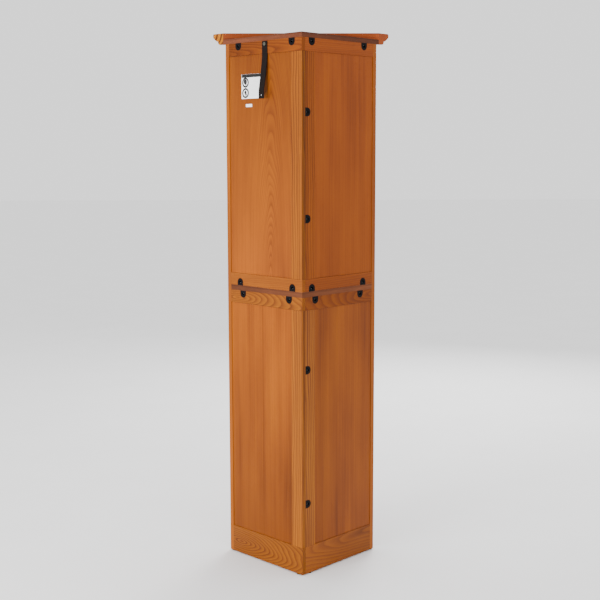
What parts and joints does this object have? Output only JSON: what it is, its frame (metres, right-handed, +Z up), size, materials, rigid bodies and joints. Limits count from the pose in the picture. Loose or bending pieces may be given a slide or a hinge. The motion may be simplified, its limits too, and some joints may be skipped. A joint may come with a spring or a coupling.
{
  "type": "corner pantry cabinet",
  "caption": "Tall oak corner pantry cabinet with two frame-and-panel walls, a crown moulding, an upper and a lower door and adjustable shelves.",
  "frame": {"origin": "middle of the bounding box's footprint, on the floor", "axes": "+Z up; the doors face -Y; the square back corner points to +Y; +X is the cabinet's right side seen from the front"},
  "size_m": [0.605, 0.3026, 1.829],
  "materials": {
    "oak_solid": "satin",
    "oak_veneer": "satin",
    "oak_board": "satin",
    "black_plastic": "satin",
    "brown_plastic": "matte",
    "dark_steel": "satin",
    "zinc_steel": "satin",
    "bronzed_steel": "satin",
    "bronzed_knob": "satin",
    "brass_pins": "satin",
    "black_webbing": "woven, matte",
    "label_paper": "matte"
  },
  "bodies": {
    "case": {"upper_right_field": "oak_veneer", "upper_right_rear_stile": "oak_solid", "upper_right_top_rail": "oak_solid", "upper_right_bottom_rail": "oak_solid", "upper_right_post": "oak_solid", "upper_left_field": "oak_veneer", "upper_left_rear_stile": "oak_solid", "upper_left_top_rail": "oak_solid", "upper_left_bottom_rail": "oak_solid", "upper_left_post": "oak_solid", "lower_right_field": "oak_veneer", "lower_right_rear_stile": "oak_solid", "lower_right_top_rail": "oak_solid", "lower_right_bottom_rail": "oak_solid", "lower_right_post": "oak_solid", "lower_left_field": "oak_veneer", "lower_left_rear_stile": "oak_solid", "lower_left_top_rail": "oak_solid", "lower_left_bottom_rail": "oak_solid", "lower_left_post": "oak_solid", "top_board": "oak_board", "mid_board": "oak_board", "bottom_board": "oak_board", "crown_moulding": "oak_solid", "header_rail": "oak_solid", "toe_rail": "oak_solid", "upper_shelf_high": "oak_board", "upper_shelf_low": "oak_board", "lower_shelf": "oak_board", "shelf_pins": "brass_pins", "connector_housings": "black_plastic", "connector_screws": "dark_steel", "foot_glides": "black_plastic", "paper_labels": "label_paper", "door_catches": "brown_plastic", "fixed_hinge_leaves": "bronzed_steel", "hinge_pins": "bronzed_steel", "fixed_hinge_screws": "bronzed_steel", "strap_screw": "zinc_steel"},
    "upper_door": {"upper_door_hinge_stile": "oak_solid", "upper_door_latch_stile": "oak_solid", "upper_door_top_rail": "oak_solid", "upper_door_bottom_rail": "oak_solid", "upper_door_panel": "oak_veneer", "upper_door_knob": "bronzed_knob", "upper_door_knob_screw": "zinc_steel", "upper_door_hinge_leaves": "bronzed_steel", "upper_door_hinge_screws": "bronzed_steel", "upper_door_strike": "zinc_steel"},
    "lower_door": {"lower_door_hinge_stile": "oak_solid", "lower_door_latch_stile": "oak_solid", "lower_door_top_rail": "oak_solid", "lower_door_bottom_rail": "oak_solid", "lower_door_panel": "oak_veneer", "lower_door_knob": "bronzed_knob", "lower_door_knob_screw": "zinc_steel", "lower_door_hinge_leaves": "bronzed_steel", "lower_door_hinge_screws": "bronzed_steel", "lower_door_strike": "zinc_steel"},
    "strap": {"anti_tip_strap": "black_webbing"}
  },
  "joints": [
    {"name": "upper_door_hinge", "type": "hinge", "parent": "case", "child": "upper_door", "pos_m": [-0.19452, -0.12545, 1.36], "axis": [0, 0, -1], "range_deg": [0, 170]},
    {"name": "lower_door_hinge", "type": "hinge", "parent": "case", "child": "lower_door", "pos_m": [-0.19452, -0.12545, 0.521], "axis": [0, 0, -1], "range_deg": [0, 170]},
    {"name": "strap_swing", "type": "hinge", "parent": "case", "child": "strap", "pos_m": [0.12021, 0.03104, 1.7795], "axis": [0.7071, 0.7071, 0], "range_deg": [-75, 75]}
  ]
}
